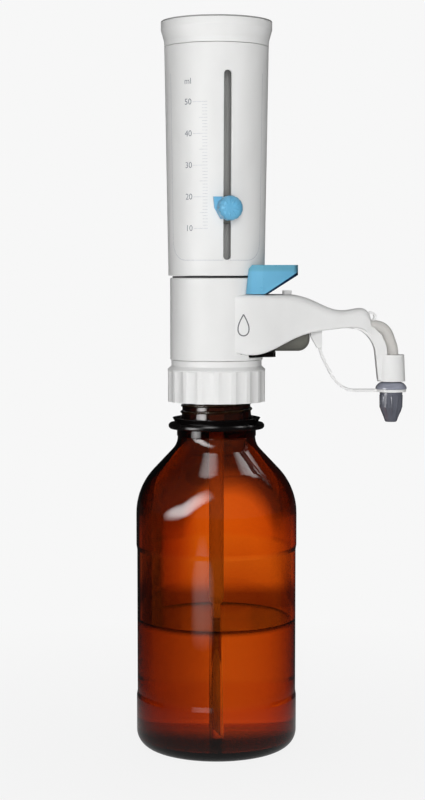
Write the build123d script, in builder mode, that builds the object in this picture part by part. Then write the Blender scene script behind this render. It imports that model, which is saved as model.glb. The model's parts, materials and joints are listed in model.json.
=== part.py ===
from build123d import *
import os
from math import atan, cos, radians, sin, tan

# Bottle-top dispenser standing on its amber reagent bottle, with piston, valves and dip tube.
# Millimetres, +Z up. The origin is the centre of the bottle's foot, +X runs towards the spout,
# and the front, with the volume slot and its scale, faces -Y.

os.makedirs("parts", exist_ok=True)

# ---------------------------------------------------------------- clearances
fit = 0.10            # between pieces that are fixed to each other
running_fit = 0.06    # radial, a shaft or piston in its bore
seam = 0.30           # axial, between pieces that move apart or turn on each other
slack = 0.50          # radial, a loose piece in its pocket

# ---------------------------------------------------------------- bottle
bottle_radius = 50.9
bottle_wall = 3.2
base_thickness = 7.5
lip_z = 231.0
foot_radius = 40.0
punt_radius = 36.0
punt_height = 3.2
shoulder_slope = 43.4          # degrees off the vertical
shoulder_curve = 41.0
neck_curve = 11.2
neck_radius = 21.4
bead_radius = 25.0
bead_height = 4.5
thread_length = 27.4           # from the top of the bead to the lip
label_low_z = 36.0
label_gap = 23.0               # from the label's recess up to the shoulder
label_depth = 0.5
label_ramp = 3.0               # height over which the glass steps back to the label's recess
liquid_level_z = 82.0

# tamper ring that the bottle's own cap left on the bead
ring_radius = 30.3
ring_thickness = 3.4
ring_skirt_radius = 27.8
ring_skirt_height = 3.6

# ---------------------------------------------------------------- filling tubes under the valve block
outer_tube_radius = 4.7
outer_tube_bore = 3.2
outer_tube_low_z = 92.0
inner_tube_radius = 2.5
inner_tube_bore = 1.6
inner_tube_low_z = 9.5
inner_tube_overlap = 18.0
tube_stop_height = 4.0
nipple_length = 8.0
return_tube_radius = 2.0
return_tube_offset = 12.0
return_tube_length = 46.0
return_tube_seat = 10.0

# ---------------------------------------------------------------- neck collar
collar_radius = 30.8
collar_neck_radius = 28.5
collar_height = 26.2
collar_drop = 10.2             # below the bottle's lip
collar_neck_height = 4.2
collar_flutes = 18
flute_radius = 12.0
flute_depth = 0.9
thread_clearance = 1.5
collar_skin = 2.4

# ---------------------------------------------------------------- valve block
block_inset = 5.2              # radial, inside the body
block_height = 13.2
block_flange_height = 4.6
block_neck_radius = 19.4
block_spigot_length = 9.0
block_flat_depth = 2.0
seal_height = 1.6
base_plate_lift = 2.0          # above the lower edge of the body
base_plate_height = 3.1
base_plate_reach = 7.8         # beyond the body
base_plate_inset = 8.2         # its half width at the axis, less than the body's radius
base_plate_tail_half = 15.0
valve_body_radius = 6.1
valve_body_length = 21.0
valve_hex_height = 5.0
filling_ball_radius = 3.0
discharge_ball_radius = 2.5
ball_lift = 1.5
feed_radius = 2.4
vent_radius = 3.0
vent_height = 5.5

# ---------------------------------------------------------------- housing with its spout arm
body_radius = 29.2
body_height = 51.3
body_wall = 2.0
deck_height = 2.5
arm_height = 40.9              # from the bottom of the body to the arm's flat top
arm_wall = 1.6
notch_depth = 9.2              # from the side of the body inwards
# arm sections from root to tip: distance from the axis, lower and upper edge below the flat top,
# half width, corner radius
arm_sections = [
    (4.0, 35.4, 0.0, body_radius - 0.35, 2.5),
    (16.0, 36.7, 0.0, body_radius - 2.6, 2.5),
    (28.7, 36.4, 0.0, body_radius - 5.0, 3.0),
    (39.0, 32.2, 0.0, body_radius - 8.8, 3.5),
    (51.5, 26.2, 0.8, body_radius - 13.6, 5.0),
    (66.6, 22.6, 6.6, 11.0, 5.5),
    (83.0, 20.9, 9.8, 8.0, 4.5),
    (97.0, 26.6, 14.4, 5.55, 4.0),
]
arm_open_sections = 7          # how many of them are hollow from below
stem_half_width = 5.6
nozzle_x = 110.5
nozzle_drop = 54.8             # from the arm's flat top to the mouth of the nozzle
nozzle_height = 16.8
nozzle_radius_low = 8.9
nozzle_radius_top = 8.1
hook_radius = 3.4
hook_bore = 1.8
hook_width = 4.0
stop_reach = 6.4               # beyond the lever's pivot
stop_length = 5.6
stop_width = 7.0
stop_height = 2.4

# ---------------------------------------------------------------- discharge line in the arm
discharge_block_radius = 9.0
discharge_block_drop = 26.7    # its axis, below the arm's flat top
discharge_block_reach = 20.8   # beyond the lever's pivot
discharge_valve_reach = 4.6    # from the flat of the valve block
discharge_bore = 4.0
valve_drop = 6.5
feed_drop = 7.0
riser_reach = 6.1              # from the discharge valve
channel_radius = 1.2
turret_length = 14.0
turret_half_width = 9.0
discharge_tube_radius = 3.5
discharge_tube_bore = 2.2
tip_radius = 4.2
tip_bore = 1.6
tip_length = 30.9
tip_reach = 18.4               # below the mouth of the nozzle

# ---------------------------------------------------------------- recirculation lever
pivot_reach = 8.8              # beyond the body
pivot_drop = 16.2              # below the arm's flat top
pivot_radius = 5.0
lever_gap = 0.5
lever_height = 17.9
lever_nose_height = 6.2
lever_root_depth = 11.2        # from the side of the body inwards
lever_heel_length = 14.0
lever_length = 32.7
lever_edge = 1.5               # bevel along the slanted underside
dish_radius = 23.4
dish_depth = 1.4
dish_half_width = 12.0
ear_thickness = 2.4
ear_width = 4.0
ear_reach = 8.0                # from the pivot back to where an ear passes the arm's top
ear_swing = 9.6                # length of the slot that an ear swings in

# ---------------------------------------------------------------- glass cylinder, guard and piston
cylinder_bore = 12.875
cylinder_wall = 1.625
cylinder_seat = 6.0
cylinder_length = 117.0
clamp_overlap = 5.0
guard_bore = 18.0
guard_radius = 20.0
guard_flange_radius = 24.2
guard_flange_height = 2.8
bumper_inset = 1.5             # radial, inside the body
bumper_height = 1.0
piston_height = 12.0
piston_rest = 4.0              # above the bottom of the cylinder
rod_radius = 5.0
seal_ring_height = 1.8
seal_ring_depth = 1.5

# ---------------------------------------------------------------- sleeve that is pulled up to fill
sleeve_length = 141.5
sleeve_overhang = 1.05         # radial, its lower end beyond the body
sleeve_taper = 2.35            # radial, its upper end beyond its lower end
sleeve_wall = 2.2
lip_flare = 2.1
lip_taper = 3.9
lip_full = 10.8
cap_height = 16.1
rim_height = 0.8
rim_width = 2.4
boss_radius = 9.0
boss_length = 10.0
nut_height = 4.5
skirt_height = 5.0
cap_floor_height = 2.4
guide_height = 5.6

# ---------------------------------------------------------------- volume slot, scale and slider
slot_azimuth = 12.3            # from the front towards the spout
slot_width = 4.8
slot_low_gap = 9.7             # from the bottom of the sleeve
slot_high_gap = 16.7           # from the top of the sleeve
millilitre = 1.92              # travel for one millilitre
set_volume = 40
key_width = 1.8
key_depth = 0.9
key_offset = 1.3               # keyway, right of the middle of the slot
slider_block_width = 14.0
slider_block_height = 17.0
slider_boss_height = 9.0
slider_boss_width = 4.2
pointer_thickness = 1.8
pointer_left = 8.8
pointer_right = 4.5
pointer_height = 13.5
knob_radius = 7.6
knob_depth = 10.5
knob_flutes = 16
screw_radius = 1.9
screw_depth = 7.1

# ---------------------------------------------------------------- nozzle cap and its strap
cap_dome_radius = 9.8
cap_dome_height = 4.5
cap_neck_radius = 7.15
cap_mid_radius = 6.9
cap_tip_radius = 3.8
cap_reach = 25.7               # below the mouth of the nozzle
cap_mid_height = 9.3
cap_ribs = 12
rib_width = 0.9
strap_room = 2.4
strap_thickness = 1.7
strap_width = 5.0
clip_length = 7.1
clip_half_width = 4.9

# ---------------------------------------------------------------- derived places
slot_out = Vector(sin(radians(slot_azimuth)), -cos(radians(slot_azimuth)), 0)
slot_right = Vector(cos(radians(slot_azimuth)), sin(radians(slot_azimuth)), 0)
slot_plane = Plane(origin=(0, 0, 0), x_dir=slot_right, z_dir=slot_out)
slot_axis = Axis((0, 0, 0), slot_out)

heel_radius = bottle_radius - foot_radius
bead_top_z = lip_z - thread_length
neck_base_radius = bead_radius - 0.4
neck_base_z = bead_top_z - bead_height - 0.6
shoulder_high_z = neck_base_z - 1.05 * neck_curve * tan(radians(shoulder_slope / 2))
shoulder_low_z = shoulder_high_z - (bottle_radius - neck_base_radius) / tan(radians(shoulder_slope))
label_high_z = shoulder_low_z - shoulder_curve * tan(radians(shoulder_slope / 2)) - label_gap

thread_bore = neck_radius + thread_clearance
collar_low_z = lip_z - collar_drop
collar_top_z = collar_low_z + collar_height
flange_low_z = lip_z + seam + seal_height
flange_top_z = flange_low_z + block_flange_height
flange_radius = thread_bore - slack
spigot_radius = neck_radius - bottle_wall - 1.4
spigot_low_z = flange_low_z - block_spigot_length
filling_valve_low_z = spigot_low_z - valve_hex_height
body_low_z = collar_top_z + seam
body_top_z = body_low_z + body_height
base_plate_z = body_low_z + base_plate_lift
base_plate_end = body_radius + base_plate_reach
base_plate_root_half = body_radius - base_plate_inset
notch_x = body_radius - notch_depth
block_radius = body_radius - block_inset
block_flat_x = block_radius - block_flat_depth
block_low_z = base_plate_z + base_plate_height + fit
block_top_z = block_low_z + block_height
vent_z = block_low_z + vent_height

cylinder_low_z = block_top_z - cylinder_seat
cylinder_top_z = cylinder_low_z + cylinder_length
piston_low_z = cylinder_low_z + piston_rest
seal_places = [piston_low_z + 1.8, piston_low_z + piston_height - 4.8]
sleeve_low_radius = body_radius + sleeve_overhang
sleeve_top_radius = sleeve_low_radius + sleeve_taper
sleeve_low_z = body_top_z + bumper_height + seam
sleeve_top_z = sleeve_low_z + sleeve_length
lip_radius = sleeve_top_radius + lip_flare
cap_top_z = sleeve_top_z + cap_height
cap_floor_z = cap_top_z - rim_height - 1.2 - cap_floor_height
rod_top_z = cap_floor_z - 1.6
boss_low_z = rod_top_z - boss_length
skirt_radius = sleeve_top_radius - sleeve_wall - 2 * fit
guide_low_z = sleeve_low_z + seam

slot_low_z = sleeve_low_z + slot_low_gap
slot_high_z = sleeve_top_z - slot_high_gap
pointer_z = slot_high_z + 0.2 - set_volume * millilitre
slider_top_z = pointer_z + 0.9
guard_top_z = slider_top_z + set_volume * millilitre
knob_z = slider_top_z - slider_block_height / 2 + 0.5
screw_low_radius = guard_radius + 2.0

arm_top_z = body_low_z + arm_height
arm_root_half = arm_sections[0][3]
pivot_x = body_radius + pivot_reach
pivot_z = arm_top_z - pivot_drop
stop_x = pivot_x + stop_reach
lever_root_x = body_radius - lever_root_depth
ear_x = pivot_x - ear_reach
ear_y = turret_half_width + 1.6
plug_flat_z = pivot_z + 1.5
lever_low_z = arm_top_z + lever_gap
lever_top_z = lever_low_z + lever_height
lever_end_x = lever_root_x + lever_length
lever_heel_x = lever_root_x + lever_heel_length
arm_sides = [(x, half) for x, low, high, half, corner in arm_sections]
lever_outline = [(x, -half) for x, half in arm_sides] + [(x, half) for x, half in reversed(arm_sides)]

nozzle_low_z = arm_top_z - nozzle_drop
nozzle_top_z = nozzle_low_z + nozzle_height
nozzle_bore = discharge_tube_radius + 1.4
nozzle_section = Plane(origin=(nozzle_x, 0, 0), x_dir=(1, 0, 0), z_dir=(0, -1, 0))
nozzle_axis = Axis((nozzle_x, 0, 0), (0, 0, 1))
stem_section = Plane(origin=(nozzle_x, 0, arm_top_z), x_dir=(1, 0, 0), z_dir=(0, -1, 0))
tip_low_z = nozzle_low_z - tip_reach
tip_top_z = tip_low_z + tip_length

# the discharge tube runs from the turret through the arm and bends down into the nozzle
tube_route = [
    Vector(pivot_x + turret_length / 2 + seam, 0, pivot_z),
    Vector(nozzle_x - 26.5, 0, pivot_z - 1.6),
    Vector(nozzle_x - 4.1, 0, pivot_z - 4.4),
    Vector(nozzle_x + 0.9, 0, pivot_z - 18.2),
    Vector(nozzle_x + 0.9, 0, tip_top_z + fit),
]
tube_bends = (90.0, 9.0, 20.0)
tube_start = Plane(origin=tube_route[0], z_dir=tube_route[1] - tube_route[0])

discharge_block_z = arm_top_z - discharge_block_drop
discharge_block_end = pivot_x + discharge_block_reach
discharge_valve_x = block_flat_x + discharge_valve_reach
riser_x = discharge_valve_x + riser_reach
feed_z = discharge_block_z - feed_drop
valve_section = Plane(origin=(discharge_valve_x, 0, 0), x_dir=(1, 0, 0), z_dir=(0, -1, 0))
valve_axis = Axis((discharge_valve_x, 0, 0), (0, 0, 1))
discharge_seat_z = discharge_block_z - valve_drop + fit
discharge_cone_z = discharge_seat_z + 2.4
discharge_cage_z = discharge_cone_z + 1.9
discharge_cage_radius = discharge_ball_radius + slack
discharge_cage_top_z = discharge_cage_z + 2 * discharge_ball_radius + ball_lift
valve_outlet_z = discharge_cage_top_z - channel_radius - 0.4

cap_low_z = nozzle_low_z - cap_reach
cap_mid_z = cap_low_z + cap_mid_height
cap_neck_z = nozzle_low_z - 0.4 - cap_dome_height
cap_top_height = cap_neck_z + cap_dome_height
clip_low_x = discharge_block_end + slack
clip_high_x = clip_low_x + clip_length
clip_top_z = pivot_z + 1.0
clip_foot_z = pivot_z - 17.4
strap_ring_radius = cap_dome_radius - 0.4


def sleeve_radius(z):
    """Outside radius of the tapered sleeve at height z."""
    share = (z - sleeve_low_z) / (sleeve_top_z - sleeve_low_z)
    return sleeve_low_radius + share * (sleeve_top_radius - sleeve_low_radius)


block_outer_radius = sleeve_radius(slider_top_z - slider_block_height) - sleeve_wall - seam
pointer_radius = sleeve_radius(pointer_z) + 0.4
knob_face = pointer_radius + pointer_thickness + seam


def seated_height(ball_radius, cone_low_z, cone_low_radius, cone_top_z, cone_top_radius):
    """Centre height of a ball that rests just clear of a conical seat."""
    slope = atan((cone_top_radius - cone_low_radius) / (cone_top_z - cone_low_z))
    apex_z = cone_low_z - cone_low_radius / tan(slope)
    return apex_z + (ball_radius + fit) / sin(slope)


def bottle_section(inset, floor_z=0):
    """Half section of the bottle, a given distance inside the glass and down to a flat floor."""
    with BuildSketch() as section:
        with BuildLine():
            TangentArc((0, punt_height), (punt_radius, 0), tangent=(1, 0))
            Line((punt_radius, 0), (foot_radius, 0))
            TangentArc((foot_radius, 0), (bottle_radius, heel_radius), tangent=(1, 0))
            FilletPolyline(
                (bottle_radius, heel_radius),
                (bottle_radius, shoulder_low_z),
                (neck_base_radius, shoulder_high_z),
                (neck_base_radius, neck_base_z),
                radius=(shoulder_curve, neck_curve),
            )
            Polyline(
                (neck_base_radius, neck_base_z),
                (neck_radius + 1.0, bead_top_z),
                (neck_radius + 0.8, bead_top_z + 6.0),
                (neck_radius, bead_top_z + 15.4),
                (neck_radius, lip_z - 1.0),
                (neck_radius - 1.0, lip_z),
                (0, lip_z),
                (0, punt_height),
            )
        make_face()
        mirror(about=Plane.YZ)
        if inset:
            offset(amount=-inset)
        split(bisect_by=Plane.YZ, keep=Keep.TOP)
        if floor_z:
            with Locations((0, floor_z - bottle_radius)):
                Rectangle(3 * bottle_radius, 2 * bottle_radius, mode=Mode.SUBTRACT)
    return section.sketch


# ================================================================ bottle
with BuildPart() as bottle:
    with BuildSketch(Plane.XZ):
        add(bottle_section(0))
        with BuildLine():
            Polyline(
                (neck_radius - 1, bead_top_z - bead_height),
                (bead_radius, bead_top_z - bead_height),
                (bead_radius, bead_top_z),
                (neck_radius - 1, bead_top_z),
                close=True,
            )
        make_face()
        add(bottle_section(bottle_wall, base_thickness), mode=Mode.SUBTRACT)
        with Locations((0, lip_z)):
            Rectangle(2 * (neck_radius - bottle_wall), 20, mode=Mode.SUBTRACT)
        with BuildLine():
            Polyline(
                (bottle_radius + label_depth, label_low_z - 2 * label_ramp),
                (bottle_radius - label_depth, label_low_z),
                (bottle_radius - label_depth, label_high_z),
                (bottle_radius + label_depth, label_high_z + 2 * label_ramp),
                close=True,
            )
        make_face(mode=Mode.SUBTRACT)
    revolve(axis=Axis.Z)

with BuildPart() as reagent:
    with BuildSketch(Plane.XZ):
        add(bottle_section(bottle_wall + fit, base_thickness + fit))
        with Locations((0, liquid_level_z + lip_z / 2)):
            Rectangle(3 * bottle_radius, lip_z, mode=Mode.SUBTRACT)
        Rectangle(2 * (inner_tube_radius + seam), lip_z, mode=Mode.SUBTRACT)
    revolve(axis=Axis.Z)

with BuildPart() as neck_ring:
    ring_z = bead_top_z + fit
    ring_bore = neck_radius + 1.4
    with BuildSketch(Plane.XZ):
        with BuildLine():
            Polyline(
                (ring_bore, ring_z),
                (ring_radius - 0.8, ring_z),
                (ring_radius, ring_z + 0.9),
                (ring_radius, ring_z + ring_thickness - 1.0),
                (ring_radius - 0.9, ring_z + ring_thickness),
                (ring_skirt_radius - 1.7, ring_z + ring_thickness + 0.4),
                (ring_skirt_radius, ring_z + ring_thickness + ring_skirt_height - 0.3),
                (ring_skirt_radius - 1.4, ring_z + ring_thickness + ring_skirt_height),
                (ring_bore + 1.7, ring_z + ring_thickness + 0.9),
                (ring_bore, ring_z + ring_thickness + 0.5),
                close=True,
            )
        make_face()
    revolve(axis=Axis.Z)

# ================================================================ collar
with BuildPart() as neck_collar:
    ledge_z = flange_top_z + seam
    pocket_bore = thread_bore + collar_skin
    pocket_radius = collar_radius - collar_skin - flute_depth
    with BuildSketch(Plane.XZ):
        with BuildLine():
            Polyline(
                (thread_bore, collar_low_z),
                (collar_radius, collar_low_z),
                (collar_radius, collar_top_z - collar_neck_height - 1.6),
                (collar_neck_radius, collar_top_z - collar_neck_height + 0.6),
                (collar_neck_radius, collar_top_z),
                (block_neck_radius + seam, collar_top_z),
                (block_neck_radius + seam, ledge_z),
                (thread_bore, ledge_z),
                close=True,
            )
        make_face()
    revolve(axis=Axis.Z)
    with BuildSketch(Plane.XY.offset(collar_low_z)):
        with PolarLocations(collar_radius + flute_radius - flute_depth, collar_flutes):
            Circle(flute_radius)
    extrude(amount=collar_top_z - collar_neck_height - 2.4 - collar_low_z, mode=Mode.SUBTRACT)
    with BuildSketch(Plane.XY.offset(collar_low_z)):
        Circle(pocket_radius)
        Circle(pocket_bore, mode=Mode.SUBTRACT)
        with PolarLocations(0, collar_flutes // 2):
            Rectangle(2 * collar_radius, 1.6, mode=Mode.SUBTRACT)
    extrude(amount=ledge_z - collar_low_z, mode=Mode.SUBTRACT)

# ================================================================ valve block
with BuildPart() as valve_block:
    with BuildSketch(Plane.XZ):
        with BuildLine():
            Polyline(
                (0, spigot_low_z),
                (spigot_radius, spigot_low_z),
                (spigot_radius, flange_low_z),
                (flange_radius, flange_low_z),
                (flange_radius, flange_top_z),
                (block_neck_radius, flange_top_z),
                (block_neck_radius, block_low_z),
                (block_radius, block_low_z),
                (block_radius, block_top_z),
                (0, block_top_z),
                close=True,
            )
        make_face()
    revolve(axis=Axis.Z)
    split(bisect_by=Plane.YZ.offset(block_flat_x), keep=Keep.BOTTOM)
    # seat of the glass cylinder
    with BuildSketch(Plane.XY.offset(cylinder_low_z - fit)):
        Circle(cylinder_bore + cylinder_wall + fit)
    extrude(amount=block_top_z - cylinder_low_z + 1, mode=Mode.SUBTRACT)
    # pocket of the filling valve and the channel from it to the cylinder
    with BuildSketch(Plane.XY.offset(spigot_low_z)):
        Circle(valve_body_radius + fit)
    extrude(amount=valve_body_length - valve_hex_height + fit, mode=Mode.SUBTRACT)
    with BuildSketch(Plane.XY.offset(flange_low_z)):
        Circle(feed_radius)
    extrude(amount=block_top_z - flange_low_z, mode=Mode.SUBTRACT)
    # channel from the cylinder to the discharge line
    with BuildSketch(Plane.YZ):
        with Locations((0, feed_z)):
            Circle(channel_radius)
    extrude(amount=block_flat_x + 1, mode=Mode.SUBTRACT)
    # return channel above the recirculation tube, and the vent at the back
    with BuildSketch(Plane.XY.offset(spigot_low_z)):
        with Locations((0, return_tube_offset)):
            Circle(return_tube_radius + fit)
    extrude(amount=return_tube_seat, mode=Mode.SUBTRACT)
    with BuildSketch(Plane.XZ.offset(-block_radius - 1)):
        with Locations((0, vent_z)):
            Circle(vent_radius + fit)
    extrude(amount=7, mode=Mode.SUBTRACT)

with BuildPart() as neck_seal:
    with BuildSketch(Plane.XY.offset(lip_z + seam)):
        Circle(flange_radius - 0.4)
        Circle(spigot_radius + fit, mode=Mode.SUBTRACT)
    extrude(amount=seal_height - fit / 2)

with BuildPart() as base_plate:
    with BuildSketch(Plane.XY.offset(base_plate_z)):
        Circle(body_radius - body_wall - seam)
        with BuildLine():
            Polyline(
                (0, -base_plate_root_half),
                (base_plate_end, -base_plate_tail_half),
                (base_plate_end, base_plate_tail_half),
                (0, base_plate_root_half),
                close=True,
            )
        make_face()
        Circle(block_neck_radius + fit, mode=Mode.SUBTRACT)
    extrude(amount=base_plate_height)
    fillet(base_plate.edges().filter_by(Axis.Z).group_by(Axis.X)[-1], 5.0)

# ================================================================ filling valve and tubes
with BuildPart() as filling_valve:
    valve_top_z = filling_valve_low_z + valve_body_length
    ball_seat_z = filling_valve_low_z + 6.0
    ball_cage_z = ball_seat_z + 2.4
    ball_cage_radius = filling_ball_radius + slack
    with BuildSketch(Plane.XY.offset(filling_valve_low_z)):
        RegularPolygon(valve_body_radius + 0.6, 6)
    extrude(amount=valve_hex_height - seam)
    with BuildSketch(Plane.XY.offset(filling_valve_low_z)):
        Circle(valve_body_radius)
    extrude(amount=valve_body_length)
    # hose nipple with a barbed rim
    with BuildSketch(Plane.XY.offset(filling_valve_low_z - nipple_length)):
        Circle(outer_tube_bore - fit)
    extrude(amount=nipple_length)
    with BuildSketch(Plane.XZ):
        with BuildLine():
            Polyline(
                (0, filling_valve_low_z - nipple_length),
                (1.8, filling_valve_low_z - nipple_length),
                (1.8, ball_seat_z),
                (ball_cage_radius, ball_cage_z),
                (ball_cage_radius, valve_top_z),
                (0, valve_top_z),
                close=True,
            )
        make_face()
    revolve(axis=Axis.Z, mode=Mode.SUBTRACT)

filling_ball_z = seated_height(filling_ball_radius, ball_seat_z, 1.8, ball_cage_z, ball_cage_radius)
with BuildPart() as filling_valve_ball:
    with BuildSketch(Plane.XZ):
        with BuildLine():
            CenterArc((0, filling_ball_z), filling_ball_radius, -90, 180)
            Line((0, filling_ball_z + filling_ball_radius), (0, filling_ball_z - filling_ball_radius))
        make_face()
    revolve(axis=Axis.Z)

outer_tube_top_z = filling_valve_low_z - fit
with BuildPart() as outer_filling_tube:
    with BuildSketch(Plane.XZ):
        with BuildLine():
            Polyline(
                (inner_tube_radius + running_fit, outer_tube_low_z),
                (outer_tube_radius - 1.2, outer_tube_low_z),
                (outer_tube_radius, outer_tube_low_z + tube_stop_height),
                (outer_tube_radius, outer_tube_top_z),
                (outer_tube_bore, outer_tube_top_z),
                (outer_tube_bore, outer_tube_low_z + tube_stop_height),
                (inner_tube_radius + running_fit, outer_tube_low_z + tube_stop_height),
                close=True,
            )
        make_face()
    revolve(axis=Axis.Z)

inner_tube_top_z = outer_tube_low_z + inner_tube_overlap
with BuildPart() as inner_filling_tube:
    with BuildSketch(Plane.XY.offset(inner_tube_low_z)):
        Circle(inner_tube_radius)
    extrude(amount=inner_tube_top_z - inner_tube_low_z)
    with BuildSketch(Plane.XY.offset(inner_tube_top_z - tube_stop_height)):
        Circle(outer_tube_bore - running_fit)
    extrude(amount=tube_stop_height)
    with BuildSketch(Plane.XY.offset(inner_tube_low_z)):
        Circle(inner_tube_bore)
    extrude(amount=inner_tube_top_z - inner_tube_low_z, mode=Mode.SUBTRACT)
    # slanted foot, so that the tube can't seal itself on the bottle
    split(
        bisect_by=Plane(origin=(0, 0, inner_tube_low_z + inner_tube_radius), z_dir=(-0.7, 0, -0.72)),
        keep=Keep.BOTTOM,
    )

with BuildPart() as recirculation_tube:
    return_tube_top_z = spigot_low_z + return_tube_seat - fit
    with BuildSketch(Plane.XY.offset(return_tube_top_z - return_tube_length)):
        with Locations((0, return_tube_offset)):
            Circle(return_tube_radius)
            Circle(return_tube_radius - 0.8, mode=Mode.SUBTRACT)
    extrude(amount=return_tube_length)

# ================================================================ glass cylinder and guard
with BuildPart() as glass_cylinder:
    with BuildSketch(Plane.XY.offset(cylinder_low_z)):
        Circle(cylinder_bore + cylinder_wall)
        Circle(cylinder_bore, mode=Mode.SUBTRACT)
    extrude(amount=cylinder_top_z - cylinder_low_z)
    fillet(glass_cylinder.edges().group_by(Axis.Z)[-1], 0.5)

with BuildPart() as cylinder_clamp:
    with BuildSketch(Plane.XZ):
        with BuildLine():
            Polyline(
                (rod_radius + running_fit, cylinder_top_z + fit),
                (cylinder_bore + cylinder_wall + fit, cylinder_top_z + fit),
                (cylinder_bore + cylinder_wall + fit, cylinder_top_z - clamp_overlap),
                (guard_bore - fit, cylinder_top_z - clamp_overlap),
                (guard_bore - fit, cylinder_top_z + 3),
                (rod_radius + running_fit, cylinder_top_z + 3),
                close=True,
            )
        make_face()
    revolve(axis=Axis.Z)
    with BuildSketch(Plane.XY.offset(cylinder_top_z)):
        with PolarLocations(10.0, 6):
            Circle(1.6)
    extrude(amount=4, mode=Mode.SUBTRACT)

with BuildPart() as guard_tube:
    with BuildSketch(Plane.XY.offset(block_top_z + fit)):
        Circle(guard_radius)
        Circle(guard_bore, mode=Mode.SUBTRACT)
    extrude(amount=guard_top_z + guard_flange_height - block_top_z - fit)
    with BuildSketch(Plane.XY.offset(guard_top_z)):
        Circle(guard_flange_radius)
        Circle(guard_radius - 1, mode=Mode.SUBTRACT)
    extrude(amount=guard_flange_height)
    fillet(guard_tube.edges().group_by(Axis.Z)[-1].sort_by(SortBy.RADIUS)[-1], 0.8)
    # keyway that stops the sleeve from turning
    with BuildSketch(slot_plane.offset(guard_radius - key_depth)):
        with Locations((key_offset, (body_top_z + guard_top_z) / 2)):
            Rectangle(key_width, guard_top_z - body_top_z - 2)
    extrude(amount=key_depth + 1, mode=Mode.SUBTRACT)

with BuildPart() as bumper_ring:
    with BuildSketch(Plane.XY.offset(body_top_z)):
        Circle(body_radius - bumper_inset)
        Circle(guard_radius + fit, mode=Mode.SUBTRACT)
    extrude(amount=bumper_height)
    fillet(bumper_ring.edges().group_by(Axis.Z)[-1], 0.3)

# ================================================================ housing
with BuildPart() as housing:
    with BuildSketch(Plane.XY.offset(body_low_z)):
        Circle(body_radius)
    extrude(amount=body_top_z - body_low_z)
    fillet(housing.edges().group_by(Axis.Z)[-1], 1.0)
    # swept arm: rounded sections that narrow and bend down towards the spout
    for x, low, high, half, corner in arm_sections:
        with BuildSketch(Plane.YZ.offset(x)) as arm_section:
            with Locations((0, arm_top_z - (low + high) / 2)):
                Rectangle(2 * half, low - high)
            fillet(arm_section.vertices().group_by(Axis.Y)[-1], corner)
            fillet(arm_section.vertices().group_by(Axis.Y)[0], 1.0)
    loft()
    # stem that curves down from the arm to the nozzle, drawn from the arm's top above the nozzle
    with BuildSketch(stem_section.offset(-stem_half_width)):
        with BuildLine():
            stem_under = ThreePointArc((-26.5, -20.9), (-14.8, -26.9), (-10.3, -38.2))
            stem_side = Line(stem_under @ 1, (-8.7, 1.0 - nozzle_drop))
            stem_foot = Line(stem_side @ 1, (-2.5, 1.0 - nozzle_drop))
            stem_back = Line(stem_foot @ 1, (-3.1, -36.7))
            stem_over = ThreePointArc(stem_back @ 1, (-7.3, -25.2), (-14.5, -19.2))
            stem_top = Line(stem_over @ 1, (-26.5, -17.2))
            Line(stem_top @ 1, stem_under @ 0)
        make_face()
    extrude(amount=2 * stem_half_width)
    # nozzle collar
    with BuildSketch(Plane.XY.offset(nozzle_low_z)):
        with Locations((nozzle_x, 0)):
            Circle(nozzle_radius_low)
    with BuildSketch(Plane.XY.offset(nozzle_top_z)):
        with Locations((nozzle_x, 0)):
            Circle(nozzle_radius_top)
    loft()
    # small hook above the arm's end
    with BuildSketch(stem_section.offset(-hook_width / 2)):
        with Locations((-13.1, -14.2)):
            Circle(hook_radius)
            Circle(hook_bore, mode=Mode.SUBTRACT)
    extrude(amount=hook_width)
    # pad that the lever's nose comes down on
    with BuildSketch(Plane.XY.offset(arm_top_z - 1)):
        with Locations((stop_x, 0)):
            RectangleRounded(stop_length, stop_width, 1.5)
    extrude(amount=stop_height + 1)

    # hollow: body, arm, guard opening
    with BuildSketch(Plane.XY.offset(body_low_z)):
        Circle(body_radius - body_wall)
    extrude(amount=body_top_z - deck_height - body_low_z, mode=Mode.SUBTRACT)
    with BuildSketch(Plane.XY.offset(body_low_z)):
        Circle(guard_radius + fit)
    extrude(amount=body_top_z - body_low_z, mode=Mode.SUBTRACT)
    for x, low, high, half, corner in arm_sections[:arm_open_sections]:
        depth = low if x < body_radius else low + 4
        with BuildSketch(Plane.YZ.offset(x)) as hollow_section:
            with Locations((0, arm_top_z - (depth + high + arm_wall) / 2)):
                Rectangle(2 * (half - arm_wall), depth - high - arm_wall)
            fillet(hollow_section.vertices().group_by(Axis.Y)[-1], corner - 1.0)
    loft(mode=Mode.SUBTRACT)
    # the black base plate reaches out through this slot
    with BuildSketch(Plane.XY.offset(base_plate_z - seam)):
        with Locations((notch_x + body_radius / 2, 0)):
            Rectangle(body_radius, 2 * base_plate_root_half + 1.4)
    extrude(amount=base_plate_height + 2 * seam, mode=Mode.SUBTRACT)
    # channel for the discharge tube, then the bore for the tip
    with BuildLine():
        FilletPolyline(*tube_route, radius=tube_bends)
    with BuildSketch(tube_start):
        Circle(discharge_tube_radius + 2 * fit)
    sweep(mode=Mode.SUBTRACT)
    with BuildSketch(Plane.XY.offset(nozzle_low_z)):
        with Locations((nozzle_x, 0)):
            Circle(nozzle_bore)
    extrude(amount=tip_top_z + fit - nozzle_low_z, mode=Mode.SUBTRACT)
    # slots for the lever's two ears, and the vent hole at the back
    with BuildSketch(Plane.XY.offset(arm_top_z - arm_wall - 1)):
        with Locations((ear_x + 2.2, ear_y), (ear_x + 2.2, -ear_y)):
            Rectangle(ear_swing, ear_thickness + 0.8)
    extrude(amount=arm_wall + 2, mode=Mode.SUBTRACT)
    with BuildSketch(Plane.XZ.offset(-body_radius - 1)):
        with Locations((0, vent_z)):
            Circle(vent_radius + fit)
    extrude(amount=6, mode=Mode.SUBTRACT)

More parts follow.
